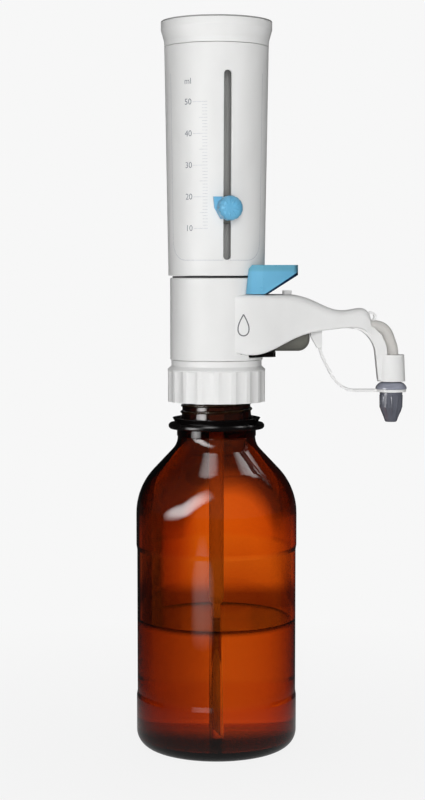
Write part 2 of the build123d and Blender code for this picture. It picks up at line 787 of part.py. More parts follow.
# ================================================================ discharge line
with BuildPart() as discharge_block:
    with BuildSketch(Plane.YZ.offset(block_flat_x + fit)):
        with Locations((0, discharge_block_z)):
            Circle(discharge_block_radius)
    extrude(amount=discharge_block_end - block_flat_x - fit)
    fillet(discharge_block.edges().group_by(Axis.X)[-1], discharge_block_radius - 1.5)
    # turret that carries the rotary plug
    with BuildSketch(Plane.XY.offset(discharge_block_z)):
        with Locations((pivot_x, 0)):
            RectangleRounded(turret_length, 2 * turret_half_width, 1.5)
    extrude(amount=pivot_z + pivot_radius + 2.4 - discharge_block_z)
    with BuildSketch(Plane.XZ.offset(-turret_half_width - 1)):
        with Locations((pivot_x, pivot_z)):
            Circle(pivot_radius + running_fit)
    extrude(amount=2 * turret_half_width + 2, mode=Mode.SUBTRACT)
    # flat under the discharge tube
    with BuildSketch(Plane.XY.offset(pivot_z - discharge_tube_radius - 1.6)):
        with Locations((pivot_x + turret_length / 2 + discharge_block_radius, 0)):
            Rectangle(2 * discharge_block_radius, 2 * discharge_block_radius)
    extrude(amount=discharge_block_radius, mode=Mode.SUBTRACT)
    # pocket of the discharge valve, then the channels to it, up to the plug and on to the tube
    with BuildSketch(Plane.XY.offset(discharge_block_z - valve_drop)):
        with Locations((discharge_valve_x, 0)):
            Circle(discharge_bore)
    extrude(amount=discharge_block_radius + valve_drop + 1, mode=Mode.SUBTRACT)
    with BuildSketch(Plane.YZ.offset(block_flat_x)):
        with Locations((0, feed_z)):
            Circle(channel_radius)
    extrude(amount=discharge_valve_x + channel_radius - block_flat_x, mode=Mode.SUBTRACT)
    with BuildSketch(Plane.YZ.offset(discharge_valve_x)):
        with Locations((0, valve_outlet_z)):
            Circle(channel_radius)
    extrude(amount=riser_x - discharge_valve_x, mode=Mode.SUBTRACT)
    with BuildSketch(Plane.XY.offset(valve_outlet_z)):
        with Locations((riser_x, 0)):
            Circle(channel_radius - 0.3)
    extrude(amount=pivot_z - valve_outlet_z, mode=Mode.SUBTRACT)
    with BuildSketch(Plane.YZ.offset(pivot_x)):
        with Locations((0, pivot_z)):
            Circle(discharge_tube_bore)
    extrude(amount=turret_length, mode=Mode.SUBTRACT)

with BuildPart() as discharge_valve_seat:
    with BuildSketch(valve_section):
        with BuildLine():
            Polyline(
                (channel_radius, discharge_seat_z),
                (discharge_bore - fit, discharge_seat_z),
                (discharge_bore - fit, discharge_cage_top_z),
                (discharge_cage_radius, discharge_cage_top_z),
                (discharge_cage_radius, discharge_cage_z),
                (channel_radius, discharge_cone_z),
                close=True,
            )
        make_face()
    revolve(axis=valve_axis)
    # outlet window
    with BuildSketch(Plane.YZ.offset(discharge_valve_x)):
        with Locations((0, valve_outlet_z)):
            Circle(channel_radius)
    extrude(amount=discharge_bore, mode=Mode.SUBTRACT)

discharge_ball_z = seated_height(
    discharge_ball_radius, discharge_cone_z, channel_radius, discharge_cage_z, discharge_cage_radius
)
with BuildPart() as discharge_valve_ball:
    with BuildSketch(valve_section):
        with BuildLine():
            CenterArc((0, discharge_ball_z), discharge_ball_radius, -90, 180)
            Line(
                (0, discharge_ball_z + discharge_ball_radius),
                (0, discharge_ball_z - discharge_ball_radius),
            )
        make_face()
    revolve(axis=valve_axis)

with BuildPart() as discharge_valve_plug:
    plug_low_z = discharge_cage_top_z + fit
    head_low_z = discharge_block_z + discharge_block_radius + fit
    with BuildSketch(Plane.XY.offset(plug_low_z)):
        with Locations((discharge_valve_x, 0)):
            Circle(discharge_bore - fit)
    extrude(amount=head_low_z - plug_low_z)
    with BuildSketch(Plane.XY.offset(head_low_z)):
        with Locations((discharge_valve_x, 0)):
            Circle(discharge_bore + 0.3)
            RegularPolygon(discharge_bore / 2, 6, mode=Mode.SUBTRACT)
    extrude(amount=2.0)

with BuildPart() as discharge_tube:
    with BuildLine():
        FilletPolyline(*tube_route, radius=tube_bends)
    with BuildSketch(tube_start):
        Circle(discharge_tube_radius)
        Circle(discharge_tube_bore, mode=Mode.SUBTRACT)
    sweep()

with BuildPart() as nozzle_tip:
    with BuildSketch(nozzle_section):
        with BuildLine():
            Polyline(
                (tip_bore, tip_low_z),
                (tip_radius - 1.2, tip_low_z),
                (tip_radius, tip_low_z + 2.0),
                (tip_radius, nozzle_low_z),
                (nozzle_bore - fit, nozzle_low_z),
                (nozzle_bore - fit, tip_top_z),
                (tip_bore, tip_top_z),
                close=True,
            )
        make_face()
    revolve(axis=nozzle_axis)

# ================================================================ recirculation lever
with BuildPart() as lever_plug:
    with BuildSketch(Plane.XZ.offset(-ear_y - ear_thickness / 2)):
        with Locations((pivot_x, pivot_z)):
            Circle(pivot_radius)
    extrude(amount=2 * ear_y + ear_thickness)
    with BuildSketch(Plane.YZ.offset(pivot_x - pivot_radius)):
        with Locations((0, pivot_z)):
            Circle(discharge_tube_bore)
    extrude(amount=2 * pivot_radius, mode=Mode.SUBTRACT)
    # flats at both ends, where the ears of the lever sit
    with BuildSketch(Plane.XY.offset(plug_flat_z)):
        with Locations((pivot_x, ear_y), (pivot_x, -ear_y)):
            Rectangle(4 * pivot_radius, ear_thickness + fit)
    extrude(amount=pivot_radius, mode=Mode.SUBTRACT)

with BuildPart() as valve_lever:
    # side view, from the horns beside the sleeve to the nose
    with BuildSketch(Plane.XZ.offset(-arm_root_half)):
        with BuildLine():
            Polyline(
                (lever_root_x, lever_low_z),
                (lever_heel_x, lever_low_z),
                (lever_end_x, lever_top_z - lever_nose_height),
                (lever_end_x, lever_top_z),
                (lever_root_x + 4.0, lever_top_z),
                (lever_root_x + 1.8, lever_top_z - 2.5),
                close=True,
            )
        make_face()
    extrude(amount=2 * arm_root_half)
    # top view, flush with the sides of the arm
    with BuildSketch(Plane.XY.offset(lever_low_z - 1)):
        with BuildLine():
            Polyline(*lever_outline, close=True)
        make_face()
    extrude(amount=lever_top_z - lever_low_z + 2, mode=Mode.INTERSECT)
    under_edges = valve_lever.faces().sort_by(Axis((0, 0, 0), (1, 0, -1)))[-1].edges()
    chamfer(under_edges.filter_by(Axis.Y, reverse=True), lever_edge)
    fillet(valve_lever.edges().filter_by(Axis.Z).group_by(Axis.X)[-1], 2.0)
    # hollow back of the lever, round the body and the sleeve that slides past it
    with BuildSketch(Plane.XY.offset(lever_low_z - 1)):
        Circle(sleeve_low_radius + 2 * seam)
    extrude(amount=lever_top_z - lever_low_z + 2, mode=Mode.SUBTRACT)
    # thumb dish between two rims
    with BuildSketch(Plane.XZ.offset(-dish_half_width)):
        with Locations((lever_end_x - 9.5, lever_top_z + dish_radius - dish_depth)):
            Circle(dish_radius)
    extrude(amount=2 * dish_half_width, mode=Mode.SUBTRACT)
    # cranked ears, through the arm's top and forward to the rotary plug
    for side in (ear_y, -ear_y):
        with BuildSketch(Plane.XZ.offset(-side - ear_thickness / 2)):
            with BuildLine():
                Polyline(
                    (pivot_x - ear_width / 2, plug_flat_z + fit),
                    (pivot_x + ear_width / 2, plug_flat_z + fit),
                    (pivot_x + ear_width / 2, plug_flat_z + 4.0),
                    (ear_x + ear_width / 2, arm_top_z - 4.5),
                    (ear_x + ear_width / 2, lever_low_z + 2.0),
                    (ear_x - ear_width / 2, lever_low_z + 2.0),
                    (ear_x - ear_width / 2, arm_top_z - 6.0),
                    (pivot_x - ear_width / 2, plug_flat_z + 2.5),
                    close=True,
                )
            make_face()
        extrude(amount=ear_thickness)

# ================================================================ piston
with BuildPart() as piston_rod:
    rod_low_z = piston_low_z + piston_height / 2
    with BuildSketch(Plane.XY.offset(rod_low_z)):
        Circle(rod_radius)
    extrude(amount=rod_top_z - rod_low_z)
    fillet(piston_rod.edges().filter_by(GeomType.CIRCLE), 0.6)

with BuildPart() as piston_head:
    with BuildSketch(Plane.XY.offset(piston_low_z)):
        Circle(cylinder_bore - running_fit)
    extrude(amount=piston_height)
    chamfer(piston_head.edges().group_by(Axis.Z)[0], 1.0)
    with BuildSketch(Plane.XY.offset(rod_low_z - fit)):
        Circle(rod_radius + fit)
    extrude(amount=piston_height, mode=Mode.SUBTRACT)
    for groove_z in seal_places:
        with BuildSketch(Plane.XY.offset(groove_z - fit)):
            Circle(cylinder_bore + 1)
            Circle(cylinder_bore - seal_ring_depth - fit, mode=Mode.SUBTRACT)
        extrude(amount=seal_ring_height + 2 * fit, mode=Mode.SUBTRACT)

with BuildPart() as piston_seals:
    for groove_z in seal_places:
        with BuildSketch(Plane.XY.offset(groove_z)):
            Circle(cylinder_bore - running_fit / 2)
            Circle(cylinder_bore - seal_ring_depth, mode=Mode.SUBTRACT)
        extrude(amount=seal_ring_height)

# ================================================================ sleeve with its cap
with BuildPart() as sleeve:
    with BuildSketch(Plane.XZ):
        with BuildLine():
            Polyline(
                (sleeve_low_radius - sleeve_wall, sleeve_low_z),
                (sleeve_low_radius, sleeve_low_z),
                (sleeve_top_radius, sleeve_top_z),
                (sleeve_top_radius - sleeve_wall, sleeve_top_z),
                close=True,
            )
        make_face()
    revolve(axis=Axis.Z)
    fillet(sleeve.edges().group_by(Axis.Z)[0], 0.5)
    with BuildSketch(slot_plane):
        with Locations((0, (slot_low_z + slot_high_z) / 2)):
            SlotOverall(slot_high_z - slot_low_z, slot_width, rotation=90)
    extrude(amount=2 * sleeve_top_radius, mode=Mode.SUBTRACT)

with BuildPart() as sleeve_guide:
    with BuildSketch(Plane.XY.offset(guide_low_z)):
        Circle(sleeve_low_radius - sleeve_wall - fit)
        Circle(guard_radius + running_fit, mode=Mode.SUBTRACT)
    extrude(amount=guide_height)
    with BuildSketch(slot_plane.offset(guard_radius - key_depth + fit)):
        with Locations((key_offset, guide_low_z + guide_height / 2)):
            Rectangle(key_width - 2 * fit, guide_height)
    extrude(amount=key_depth + 1)

with BuildPart() as top_cap:
    with BuildSketch(Plane.XZ):
        with BuildLine():
            Polyline(
                (rod_radius + fit, boss_low_z),
                (boss_radius, boss_low_z),
                (boss_radius, cap_floor_z),
                (skirt_radius - 1.6, cap_floor_z),
                (skirt_radius - 1.6, sleeve_top_z - skirt_height),
                (skirt_radius, sleeve_top_z - skirt_height),
                (skirt_radius, sleeve_top_z + seam),
                (sleeve_top_radius, sleeve_top_z + seam),
                (sleeve_top_radius + 0.1, sleeve_top_z + lip_taper),
                (lip_radius, sleeve_top_z + lip_full),
                (lip_radius, cap_top_z - rim_height - fit),
                (lip_radius - rim_width, cap_top_z - rim_height - fit),
                (lip_radius - rim_width - 0.8, cap_floor_z + cap_floor_height),
                (0, cap_floor_z + cap_floor_height),
                (0, rod_top_z + fit),
                (rod_radius + fit, rod_top_z + fit),
                close=True,
            )
        make_face()
    revolve(axis=Axis.Z)

with BuildPart() as top_rim:
    with BuildSketch(Plane.XY.offset(cap_top_z - rim_height)):
        Circle(lip_radius)
        Circle(lip_radius - rim_width, mode=Mode.SUBTRACT)
    extrude(amount=rim_height)
    fillet(top_rim.edges().group_by(Axis.Z)[-1], 0.35)

with BuildPart() as rod_nut:
    with BuildSketch(Plane.XY.offset(boss_low_z - nut_height)):
        RegularPolygon(boss_radius - 0.4, 6)
        Circle(rod_radius + fit, mode=Mode.SUBTRACT)
    extrude(amount=nut_height - fit)

# ================================================================ volume slider
with BuildPart() as slider_block:
    with BuildSketch(Plane.XY.offset(slider_top_z - slider_block_height)):
        Circle(block_outer_radius)
        Circle(guard_radius + 1.0, mode=Mode.SUBTRACT)
    extrude(amount=slider_block_height)
    with BuildSketch(slot_plane):
        with Locations((0, slider_top_z - slider_block_height / 2)):
            Rectangle(slider_block_width, slider_block_height)
    extrude(amount=2 * sleeve_top_radius, mode=Mode.INTERSECT)
    with BuildSketch(slot_plane):
        with Locations((0, knob_z)):
            Circle(screw_radius + fit)
    extrude(amount=2 * sleeve_top_radius, mode=Mode.SUBTRACT)

with BuildPart() as volume_pointer:
    with BuildSketch(Plane.XY.offset(pointer_z - pointer_height)):
        Circle(pointer_radius + pointer_thickness)
        Circle(pointer_radius, mode=Mode.SUBTRACT)
    extrude(amount=pointer_height)
    # flag with a sharp corner on the scale side
    with BuildSketch(slot_plane):
        with BuildLine():
            Polyline(
                (-pointer_left, pointer_z),
                (pointer_right, pointer_z),
                (pointer_right, pointer_z - pointer_height),
                (-pointer_right, pointer_z - pointer_height),
                (-pointer_left + 0.6, pointer_z - pointer_height / 2),
                close=True,
            )
        make_face()
    extrude(amount=2 * sleeve_top_radius, mode=Mode.INTERSECT)
    # boss through the slot
    with BuildSketch(slot_plane.offset(block_outer_radius + fit)):
        with Locations((0, knob_z)):
            SlotOverall(slider_boss_height, slider_boss_width, rotation=90)
    extrude(amount=pointer_radius + pointer_thickness - block_outer_radius - fit)
    with BuildSketch(slot_plane):
        with Locations((0, knob_z)):
            Circle(screw_radius + fit)
    extrude(amount=2 * sleeve_top_radius, mode=Mode.SUBTRACT)

with BuildPart() as volume_knob:
    with BuildSketch(slot_plane.offset(knob_face)):
        with Locations((0, knob_z)):
            Circle(knob_radius)
    extrude(amount=knob_depth)
    fillet(volume_knob.edges().filter_by(GeomType.CIRCLE).sort_by(slot_axis)[-1], 4.6)
    fillet(volume_knob.edges().filter_by(GeomType.CIRCLE).sort_by(slot_axis)[0], 1.2)
    with BuildSketch(slot_plane.offset(knob_face)):
        with Locations((0, knob_z)):
            with PolarLocations(knob_radius + 0.5, knob_flutes):
                Circle(1.0)
    extrude(amount=knob_depth, mode=Mode.SUBTRACT)
    with BuildSketch(slot_plane.offset(knob_face)):
        with Locations((0, knob_z)):
            Circle(screw_radius + fit)
    extrude(amount=screw_depth, mode=Mode.SUBTRACT)

with BuildPart() as clamp_screw:
    with BuildSketch(slot_plane.offset(screw_low_radius)):
        with Locations((0, knob_z)):
            Circle(screw_radius)
    extrude(amount=knob_face + screw_depth - fit - screw_low_radius)

# ================================================================ nozzle cap and strap
# one grip rib, drawn on the cap's axis, that follows the cone
with BuildPart() as cap_rib:
    with BuildSketch(Plane.XZ.offset(-rib_width / 2)):
        with BuildLine():
            Polyline(
                (cap_tip_radius - 1.0, cap_low_z + 1.2),
                (cap_tip_radius + 0.15, cap_low_z + 1.2),
                (cap_mid_radius + 0.3, cap_mid_z),
                (cap_neck_radius + 0.25, cap_neck_z - strap_room - 1.6),
                (cap_mid_radius - 0.8, cap_neck_z - strap_room - 0.8),
                (cap_mid_radius - 1.0, cap_mid_z),
                close=True,
            )
        make_face()
    extrude(amount=rib_width)

with BuildPart() as nozzle_cap:
    with BuildSketch(nozzle_section):
        with BuildLine():
            Polyline(
                (tip_radius + fit, cap_top_height),
                (tip_radius + fit, tip_low_z - 1.0),
                (0, tip_low_z - 1.0),
                (0, cap_low_z),
                (cap_tip_radius - 0.5, cap_low_z),
                (cap_tip_radius, cap_low_z + 0.5),
                (cap_mid_radius, cap_mid_z),
                (cap_neck_radius, cap_neck_z - strap_room),
                (cap_neck_radius, cap_neck_z),
                (cap_dome_radius, cap_neck_z),
                (cap_dome_radius, cap_neck_z + 1.0),
            )
            ThreePointArc(
                (cap_dome_radius, cap_neck_z + 1.0),
                (cap_dome_radius - 1.5, cap_neck_z + 3.2),
                (cap_dome_radius - 4.4, cap_top_height),
            )
            Line((cap_dome_radius - 4.4, cap_top_height), (tip_radius + fit, cap_top_height))
        make_face()
    revolve(axis=nozzle_axis)
    with Locations((nozzle_x, 0)):
        with PolarLocations(0, cap_ribs):
            add(cap_rib.part)

with BuildPart() as cap_strap:
    ring_top_z = cap_neck_z - fit
    # ring that lies loose round the neck of the cap
    with BuildSketch(Plane.XY.offset(ring_top_z - strap_thickness)):
        with Locations((nozzle_x, 0)):
            Circle(strap_ring_radius)
    extrude(amount=strap_thickness)
    # band from the ring up to the clip under the arm
    with BuildLine(Plane.XZ):
        strap_path = FilletPolyline(
            (nozzle_x - cap_neck_radius - 1.0, ring_top_z - strap_thickness / 2),
            (nozzle_x - 27.0, ring_top_z - strap_thickness / 2),
            (nozzle_x - 35.2, ring_top_z + 3.8),
            (clip_high_x + 0.2, clip_foot_z - 5.1),
            (clip_high_x - 2.2, clip_foot_z + 3.4),
            radius=(12.0, 22.0, 20.0),
        )
    with BuildSketch(Plane(origin=strap_path @ 0, x_dir=(0, 1, 0), z_dir=strap_path % 0)):
        Rectangle(strap_width, strap_thickness)
    sweep()
    # clip that grips the discharge tube inside the arm
    with BuildSketch(Plane.XZ.offset(-clip_half_width)):
        with BuildLine():
            Polyline(
                (clip_low_x, clip_top_z),
                (clip_high_x, clip_top_z),
                (clip_high_x, clip_foot_z),
                (clip_high_x - 3.0, clip_foot_z),
                (clip_low_x + 1.4, clip_foot_z + 4.6),
                (clip_low_x, clip_foot_z + 7.4),
                close=True,
            )
        make_face()
    extrude(amount=2 * clip_half_width)
    with BuildSketch(Plane.XY.offset(cap_low_z)):
        with Locations((nozzle_x, 0)):
            Circle(cap_neck_radius + seam)
    extrude(amount=nozzle_low_z - cap_low_z, mode=Mode.SUBTRACT)
    with BuildLine():
        FilletPolyline(*tube_route, radius=tube_bends)
    with BuildSketch(tube_start):
        Circle(discharge_tube_radius + fit)
    sweep(mode=Mode.SUBTRACT)

with BuildPart() as vent_plug:
    with BuildSketch(Plane.XZ.offset(-block_radius + 4)):
        with Locations((0, vent_z)):
            Circle(vent_radius)
    extrude(amount=-(body_radius - block_radius + 4 + seam))
    with BuildSketch(Plane.XZ.offset(-body_radius - seam)):
        with Locations((0, vent_z)):
            Circle(vent_radius + 1.2)
    extrude(amount=-1.6)
    fillet(vent_plug.edges().group_by(Axis.Y)[-1], 0.6)

# ================================================================ export, one file per piece
pieces = {
    "bottle": bottle,
    "reagent": reagent,
    "neck_ring": neck_ring,
    "neck_collar": neck_collar,
    "valve_block": valve_block,
    "neck_seal": neck_seal,
    "base_plate": base_plate,
    "filling_valve": filling_valve,
    "filling_valve_ball": filling_valve_ball,
    "outer_filling_tube": outer_filling_tube,
    "inner_filling_tube": inner_filling_tube,
    "recirculation_tube": recirculation_tube,
    "glass_cylinder": glass_cylinder,
    "cylinder_clamp": cylinder_clamp,
    "guard_tube": guard_tube,
    "bumper_ring": bumper_ring,
    "housing": housing,
    "discharge_block": discharge_block,
    "discharge_valve_seat": discharge_valve_seat,
    "discharge_valve_ball": discharge_valve_ball,
    "discharge_valve_plug": discharge_valve_plug,
    "discharge_tube": discharge_tube,
    "nozzle_tip": nozzle_tip,
    "lever_plug": lever_plug,
    "valve_lever": valve_lever,
    "piston_rod": piston_rod,
    "piston_head": piston_head,
    "piston_seals": piston_seals,
    "sleeve": sleeve,
    "sleeve_guide": sleeve_guide,
    "top_cap": top_cap,
    "top_rim": top_rim,
    "rod_nut": rod_nut,
    "slider_block": slider_block,
    "volume_pointer": volume_pointer,
    "volume_knob": volume_knob,
    "clamp_screw": clamp_screw,
    "nozzle_cap": nozzle_cap,
    "cap_strap": cap_strap,
    "vent_plug": vent_plug,
}
for name, piece in pieces.items():
    piece.part.label = name
    export_step(piece.part, f"parts/{name}.step")
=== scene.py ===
"""Bottle top dispenser on an amber reagent bottle: materials, print, threads, light and camera."""
import json
import math

import bmesh
import bpy
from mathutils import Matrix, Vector
from mathutils.bvhtree import BVHTree


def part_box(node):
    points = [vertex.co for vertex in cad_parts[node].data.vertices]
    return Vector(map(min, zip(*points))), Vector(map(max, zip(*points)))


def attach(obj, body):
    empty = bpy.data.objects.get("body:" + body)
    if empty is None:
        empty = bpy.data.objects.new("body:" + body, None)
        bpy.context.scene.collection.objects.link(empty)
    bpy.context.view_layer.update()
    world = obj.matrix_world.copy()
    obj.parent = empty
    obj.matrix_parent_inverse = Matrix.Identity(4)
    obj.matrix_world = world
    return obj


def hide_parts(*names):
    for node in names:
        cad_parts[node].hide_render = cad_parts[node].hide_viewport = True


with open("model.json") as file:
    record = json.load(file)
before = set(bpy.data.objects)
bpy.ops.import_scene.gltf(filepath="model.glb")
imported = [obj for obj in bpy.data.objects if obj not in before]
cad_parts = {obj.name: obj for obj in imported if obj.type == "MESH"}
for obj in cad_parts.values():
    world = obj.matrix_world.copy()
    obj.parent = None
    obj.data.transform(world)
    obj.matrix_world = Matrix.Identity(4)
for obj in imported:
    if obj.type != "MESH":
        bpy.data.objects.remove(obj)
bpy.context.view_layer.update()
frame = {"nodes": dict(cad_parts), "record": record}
cad = frame["nodes"]
record = frame["record"]
slot_of = {part["node"]: part["material_slot"] for part in record["subparts"]}
MM = 0.001
OUTSIDE = 0.2                   # metres; further out than any piece that print is laid on


# ---------------------------------------------------- material helpers
def srgb(red, green, blue):
    """Linear colour of an sRGB colour given in 0 to 255."""
    def linear(value):
        value /= 255
        return value / 12.92 if value <= 0.04045 else ((value + 0.055) / 1.055) ** 2.4
    return (linear(red), linear(green), linear(blue), 1.0)


def shade(value):
    """A linear grey."""
    return (value, value, value, 1.0)


class Nodes:
    """A node tree with short ways to make nodes, sums, noise, ramps and mixes."""

    def __init__(self, tree, space):
        self.tree = tree
        self.coordinates = self.node("TexCoord").outputs[space]

    def node(self, kind, *feeds, **values):
        """A shader node: values go to its settings or sockets, feeds to its inputs in order."""
        made = self.tree.nodes.new("ShaderNode" + kind)
        for name, value in values.items():
            if name in made.inputs:
                made.inputs[name].default_value = value
            else:
                setattr(made, name, value)
        for feed, socket in zip(feeds, made.inputs):
            if isinstance(feed, (int, float, tuple)):
                socket.default_value = feed
            elif feed is not None:
                self.tree.links.new(feed, socket)
        return made

    def calc(self, operation, first, second):
        """A sum, product, power or limit of two values."""
        return self.node("Math", first, second, operation=operation).outputs["Value"]

    def times(self, first, *others):
        """The product of colours."""
        product = first
        for other in others:
            made = self.node("VectorMath", product, other, operation="MULTIPLY")
            product = made.outputs["Vector"]
        return product

    def axis(self, letter):
        """How far along X, Y or Z a point of the surface lies."""
        return self.node("SeparateXYZ", self.coordinates).outputs[letter]

    def noise(self, scale, detail=3.0, stretch=None):
        """A smooth noise, drawn out along the axes where the stretch is under one."""
        source = self.coordinates
        if stretch:
            source = self.node("Mapping", source, Scale=stretch).outputs["Vector"]
        return self.node("TexNoise", source, Scale=scale, Detail=detail).outputs["Fac"]

    def ramp(self, value, *stops):
        """A colour that runs through stops of (value, colour or grey)."""
        low, high = stops[0][0], stops[-1][0]
        place = self.calc("DIVIDE", self.calc("SUBTRACT", value, low), high - low)
        made = self.node("ValToRGB", place)
        elements = made.color_ramp.elements
        while len(elements) < len(stops):
            elements.new(0.5)
        for element, (stop, colour) in zip(elements, stops):
            element.position = (stop - low) / (high - low)
            element.color = colour if isinstance(colour, tuple) else shade(colour)
        return made.outputs["Color"]

    def mix(self, factor, first, second):
        """The first shader, or the second one where the factor is one."""
        return self.node("MixShader", factor, first, second).outputs["Shader"]


class Material(Nodes):
    """A node material with a Principled shader."""

    def __init__(self, name, **sockets):
        self.material = bpy.data.materials.new(name)
        self.material.use_nodes = True
        super().__init__(self.material.node_tree, "Object")
        self.shader = self.tree.nodes["Principled BSDF"]
        self.output = self.tree.nodes["Material Output"]
        for socket, value in sockets.items():
            self.shader.inputs[socket.replace("_", " ")].default_value = value

    def feed(self, socket, output):
        """Links an output to a socket of the shader."""
        self.tree.links.new(output, self.shader.inputs[socket])

    def fed(self, socket):
        """What feeds a socket of the shader now."""
        return self.shader.inputs[socket].links[0].from_socket

    def uneven(self, socket, noise, low, high):
        """A socket that wanders between two values with a noise."""
        made = self.node("MapRange", noise, 0.3, 0.7, low, high)
        self.feed(socket, made.outputs["Result"])

    def bump(self, height, strength, distance):
        """Lays a relief over whatever already bends the shading."""
        made = self.node("Bump", Strength=strength, Distance=distance)
        self.tree.links.new(height, made.inputs["Height"])
        if self.shader.inputs["Normal"].is_linked:
            self.tree.links.new(self.fed("Normal"), made.inputs["Normal"])
        self.feed("Normal", made.outputs["Normal"])

    def round_edges(self, radius):
        """Softens the shading over sharp moulded edges."""
        self.feed("Normal", self.node("Bevel", samples=4, Radius=radius).outputs["Normal"])

    def surface(self, shader):
        """Puts another shader in the place of the Principled one."""
        self.tree.links.new(shader, self.output.inputs["Surface"])


def moulded(name, colour, dark, roughness, **sockets):
    """Moulded plastic: faint flow marks in the colour, uneven gloss, soft edges, a fine grain."""
    made = Material(name, **sockets)
    flow = made.noise(scale=38.0, detail=2.0, stretch=(1.0, 1.0, 0.45))
    made.feed("Base Color", made.ramp(flow, (0.35, dark), (0.62, colour)))
    made.uneven("Roughness", made.noise(scale=160.0), roughness - 0.05, roughness + 0.07)
    made.round_edges(radius=0.4 * MM)
    made.bump(made.noise(scale=2600.0, detail=2.0), strength=0.5, distance=0.02 * MM)
    return made


def clear(name, colour, roughness, ior, transmission=1.0, grain=0.0):
    """Clear glass, liquid or fluoropolymer: tinted transmission with faint streaks in the gloss."""
    made = Material(name, Base_Color=colour, IOR=ior, Transmission_Weight=transmission)
    streaks = made.noise(scale=60.0, detail=2.0, stretch=(1.0, 1.0, 0.15))
    made.uneven("Roughness", streaks, roughness, roughness + 0.03)
    if grain:
        waves = made.noise(scale=30.0, detail=1.0, stretch=(1.0, 1.0, 0.4))
        made.bump(waves, strength=0.25, distance=grain)
    return made


def printed(name, colour):
    """Screen-printed ink: matt, and a little thin where the screen's mesh shows."""
    made = Material(name, Roughness=0.55)
    paler = tuple(min(1.0, channel * 1.35) for channel in colour[:3]) + (1.0,)
    mesh_marks = made.noise(scale=900.0, detail=2.0)
    made.feed("Base Color", made.ramp(mesh_marks, (0.4, colour), (0.75, paler)))
    made.bump(made.noise(scale=3000.0), strength=0.3, distance=0.01 * MM)
    return made


# ---------------------------------------------------- materials, one per slot of the record
white = moulded("white_plastic", srgb(241, 241, 240), srgb(235, 235, 234), 0.5,
                Specular_IOR_Level=0.25)
grey = moulded("grey_plastic", srgb(164, 164, 162), srgb(148, 148, 147), 0.42)
dark_grey = moulded("dark_grey_plastic", srgb(118, 118, 110), srgb(98, 98, 92), 0.46)
black = moulded("black_plastic", srgb(15, 12, 12), srgb(9, 7, 7), 0.16)
blue = moulded("blue_plastic", srgb(112, 186, 224), srgb(98, 174, 214), 0.34)
ceramic = moulded("ceramic_white", srgb(236, 236, 232), srgb(226, 226, 222), 0.22)
rubber = moulded("seal_rubber", srgb(34, 34, 35), srgb(22, 22, 23), 0.62)
brass = moulded("brass", srgb(196, 164, 92), srgb(176, 142, 74), 0.30, Metallic=1.0)
clear_plastic = clear("clear_plastic", srgb(226, 226, 220), roughness=0.12, ior=1.38,
                      transmission=0.85)
clear_tube = clear("clear_tube", srgb(240, 238, 234), roughness=0.3, ior=1.36, transmission=0.35)
clear_glass = clear("clear_glass", srgb(240, 246, 246), roughness=0.0, ior=1.47)

# smoky plastic of the nozzle cap: its flange, above the seam, is lighter
smoky = moulded("smoky_plastic", srgb(104, 106, 116), srgb(80, 82, 90), 0.14,
                Specular_IOR_Level=0.8)
cap_seam_z = 227.8 * MM
flange = smoky.ramp(smoky.axis("Z"), (cap_seam_z - 0.6 * MM, 1.0), (cap_seam_z + 0.6 * MM, 2.4))
smoky.feed("Base Color", smoky.times(smoky.fed("Base Color"), flange))

# amber glass: the melt absorbs blue and green; painted shade darkens each face where it turns away,
# in the shoulder and neck and close to the sides; the thick base is darker, as thick glass is
amber = clear("amber_glass", shade(1.0), roughness=0.0, ior=1.5, grain=0.12 * MM)
turned = amber.node("LayerWeight", Blend=0.5).outputs["Facing"]
painted_edge_shade = amber.ramp(turned, (0.0, 1.0), (0.15, 0.95), (0.32, 0.80), (0.63, 0.52), (1.0, 0.15))
base_slope = 0.14               # the base's dark part reaches higher on the near side
leaning = amber.calc("ADD", amber.axis("Z"), amber.calc("MULTIPLY", amber.axis("Y"), base_slope))
base_low, base_dark, base_top = -7.0 * MM, 8.5 * MM, 14.5 * MM
shoulder_z, neck_z, bead_z, top_z = 160.0 * MM, 195.0 * MM, 204.0 * MM, 232.0 * MM
# painted shade in the shoulder and neck; the thick base is darker, as thick glass is
thick_glass_and_painted_shade = amber.ramp(leaning, (base_low, 0.1), (base_dark, 0.14), (base_top, 1.0),
                        (shoulder_z, 1.0), (neck_z, 0.68), (bead_z, 0.42), (top_z, 0.36))
# painted shade close to both sides
painted_side_shade = amber.ramp(amber.axis("X"), (-50.0 * MM, 0.7), (-43.0 * MM, 0.85), (-38.0 * MM, 1.0),
                       (43.0 * MM, 1.0), (50.0 * MM, 0.75))
amber.feed("Base Color", amber.times(painted_edge_shade, thick_glass_and_painted_shade, painted_side_shade))
melt = amber.node("VolumeAbsorption", Color=(0.94, 0.612, 0.0, 1.0), Density=950.0)
amber.tree.links.new(melt.outputs["Volume"], amber.output.inputs["Volume"])

# the reagent: painted shade darkens its top face and its sides, most of all the left one
liquid = clear("reagent", shade(1.0), roughness=0.0, ior=1.33)
painted_top_face_shade = liquid.ramp(liquid.axis("Z"), (79.0 * MM, 1.0), (81.5 * MM, srgb(60, 52, 47)))
shaded = liquid.ramp(liquid.axis("X"), (-47.0 * MM, (0.34, 0.26, 0.25, 1.0)),
                     (-30.0 * MM, (0.46, 0.34, 0.32, 1.0)), (-10.0 * MM, (0.68, 0.58, 0.55, 1.0)),
                     (4.0 * MM, 1.0), (30.0 * MM, 1.0), (47.0 * MM, 0.6))
liquid.feed("Base Color", liquid.times(painted_top_face_shade, shaded))

